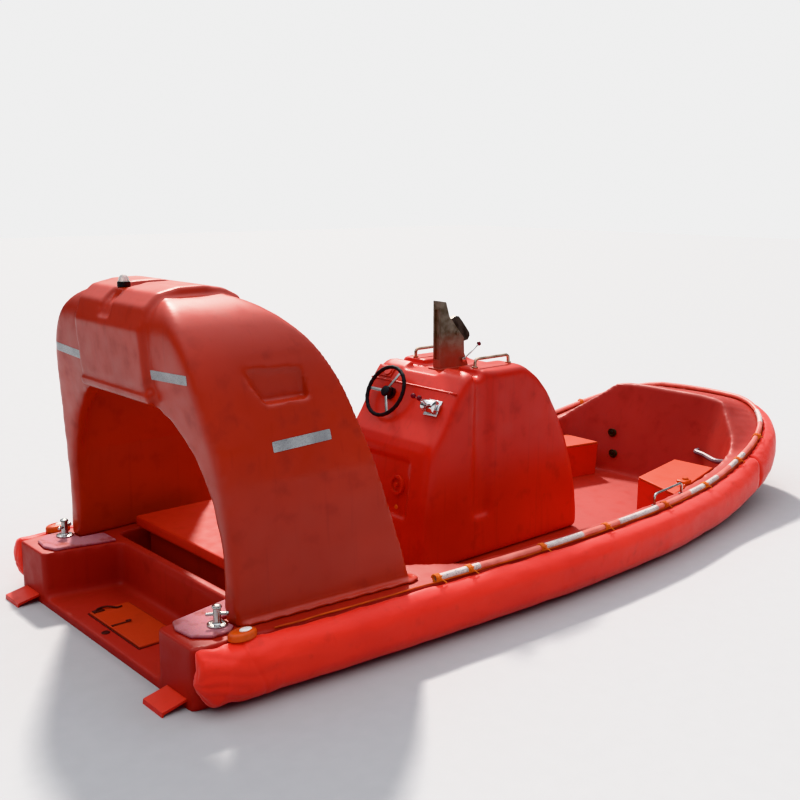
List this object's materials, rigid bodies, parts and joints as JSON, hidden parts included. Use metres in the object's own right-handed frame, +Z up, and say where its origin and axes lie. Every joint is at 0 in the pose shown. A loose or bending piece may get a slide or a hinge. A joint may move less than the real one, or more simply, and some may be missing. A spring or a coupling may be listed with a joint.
{
  "type": "fast rescue boat",
  "caption": "Rigid moulded rescue boat with a self-righting stern arch, a centre console, a lifting hook, an open stern well and a cloth-covered foam fender all round.",
  "frame": {"origin": "on the centreline at the waterline amidships", "axes": "+X forward, +Y to port, +Z up"},
  "size_m": [6.3555, 2.7138, 2.53],
  "materials": {
    "hull_shell": "satin moulded red-orange GRP",
    "arch_shell": "satin moulded red-orange GRP",
    "console_body": "satin moulded red-orange GRP",
    "dash_panel": "satin moulded red-orange GRP",
    "engine_box": "satin moulded red-orange GRP",
    "engine_box_lid": "satin moulded red-orange GRP",
    "well_hatch": "satin moulded red-orange GRP",
    "port_locker": "satin moulded red-orange GRP",
    "starboard_locker": "satin moulded red-orange GRP",
    "port_locker_lid": "satin moulded red-orange GRP",
    "starboard_locker_lid": "satin moulded red-orange GRP",
    "port_fender": "coated red cloth over foam",
    "bow_fender": "coated red cloth over foam",
    "starboard_fender": "coated red cloth over foam",
    "port_rail": "pale tube with white reflective bands",
    "port_aft_rail": "pale tube with white reflective bands",
    "starboard_aft_rail": "pale tube with white reflective bands",
    "bow_rail": "pale tube with white reflective bands",
    "starboard_rail": "pale tube with white reflective bands",
    "beacon_base": "black moulded collar",
    "beacon_lens": "clear dome",
    "steering_boss": "black moulding",
    "steering_wheel": "black soft rim",
    "throttle_box": "chrome with dark red knobs",
    "outlet_ring": "stainless steel",
    "port_console_handle": "polished stainless tube",
    "starboard_console_handle": "polished stainless tube",
    "hook_column": "grey-brown steel",
    "lifting_hook": "dark steel",
    "release_lever": "steel rod with a dark red knob",
    "port_quarter_pad": "pale non-slip sheet",
    "starboard_quarter_pad": "pale non-slip sheet",
    "port_bollard": "polished stainless steel",
    "starboard_bollard": "polished stainless steel",
    "port_quarter_light": "orange moulding",
    "starboard_quarter_light": "orange moulding",
    "port_trim_tab": "red painted plate",
    "starboard_trim_tab": "red painted plate",
    "engine_block": "dark painted iron",
    "port_grab_rail": "polished stainless tube",
    "starboard_grab_rail": "polished stainless tube",
    "bow_grab_bar": "pale tube",
    "jet_housing": "cast aluminium",
    "jet_nozzle": "cast aluminium",
    "reverse_bucket": "cast aluminium"
  },
  "bodies": {
    "boat": {"arch_shell": "arch_shell", "beacon_base": "beacon_base", "beacon_lens": "beacon_lens", "bow_fender": "bow_fender", "bow_grab_bar": "bow_grab_bar", "bow_rail": "bow_rail", "console_body": "console_body", "dash_panel": "dash_panel", "engine_block": "engine_block", "engine_box": "engine_box", "hook_column": "hook_column", "hull_shell": "hull_shell", "jet_housing": "jet_housing", "outlet_ring": "outlet_ring", "port_aft_rail": "port_aft_rail", "port_bollard": "port_bollard", "port_console_handle": "port_console_handle", "port_fender": "port_fender", "port_grab_rail": "port_grab_rail", "port_locker": "port_locker", "port_quarter_light": "port_quarter_light", "port_quarter_pad": "port_quarter_pad", "port_rail": "port_rail", "port_trim_tab": "port_trim_tab", "release_lever": "release_lever", "starboard_aft_rail": "starboard_aft_rail", "starboard_bollard": "starboard_bollard", "starboard_console_handle": "starboard_console_handle", "starboard_fender": "starboard_fender", "starboard_grab_rail": "starboard_grab_rail", "starboard_locker": "starboard_locker", "starboard_quarter_light": "starboard_quarter_light", "starboard_quarter_pad": "starboard_quarter_pad", "starboard_rail": "starboard_rail", "starboard_trim_tab": "starboard_trim_tab", "steering_boss": "steering_boss", "throttle_box": "throttle_box"},
    "wheel": {"steering_wheel": "steering_wheel"},
    "nozzle": {"jet_nozzle": "jet_nozzle"},
    "bucket": {"reverse_bucket": "reverse_bucket"},
    "aft_hatch": {"well_hatch": "well_hatch"},
    "port_lid": {"port_locker_lid": "port_locker_lid"},
    "starboard_lid": {"starboard_locker_lid": "starboard_locker_lid"},
    "bench_lid": {"engine_box_lid": "engine_box_lid"},
    "hook": {"lifting_hook": "lifting_hook"}
  },
  "joints": [
    {"name": "steering_wheel_turn", "type": "hinge", "parent": "boat", "child": "wheel", "pos_m": [-0.68, 0.17, 1.135], "axis": [-0.8988, 0, 0.4384], "range_deg": [-450, 450]},
    {"name": "jet_nozzle_steer", "type": "hinge", "parent": "boat", "child": "nozzle", "pos_m": [-3.06, 0, -0.26], "axis": [0, 0, 1], "range_deg": [-22, 22]},
    {"name": "reverse_bucket_lower", "type": "hinge", "parent": "nozzle", "child": "bucket", "pos_m": [-3.1, 0, -0.26], "axis": [0, -1, 0], "range_deg": [0, 75]},
    {"name": "well_hatch_open", "type": "hinge", "parent": "boat", "child": "aft_hatch", "pos_m": [-2.6, 0, 0.0603], "axis": [0, 1, 0], "range_deg": [0, 95]},
    {"name": "port_locker_lid_open", "type": "hinge", "parent": "boat", "child": "port_lid", "pos_m": [1.16, 0.985, 0.2973], "axis": [-0.9681, 0.2504, 0], "range_deg": [0, 85]},
    {"name": "starboard_locker_lid_open", "type": "hinge", "parent": "boat", "child": "starboard_lid", "pos_m": [1.16, -0.985, 0.2973], "axis": [0.9681, 0.2504, 0], "range_deg": [0, 85]},
    {"name": "bench_lid_open", "type": "hinge", "parent": "boat", "child": "bench_lid", "pos_m": [-1.5, 0, 0.3653], "axis": [0, 1, 0], "range_deg": [0, 70]},
    {"name": "lifting_hook_open", "type": "hinge", "parent": "boat", "child": "hook", "pos_m": [-0.195, 0, 1.515], "axis": [0, -1, 0], "range_deg": [0, 50]}
  ],
  "couplings": [
    {"joint": "jet_nozzle_steer", "follows": "steering_wheel_turn", "ratio": 0.0488}
  ]
}
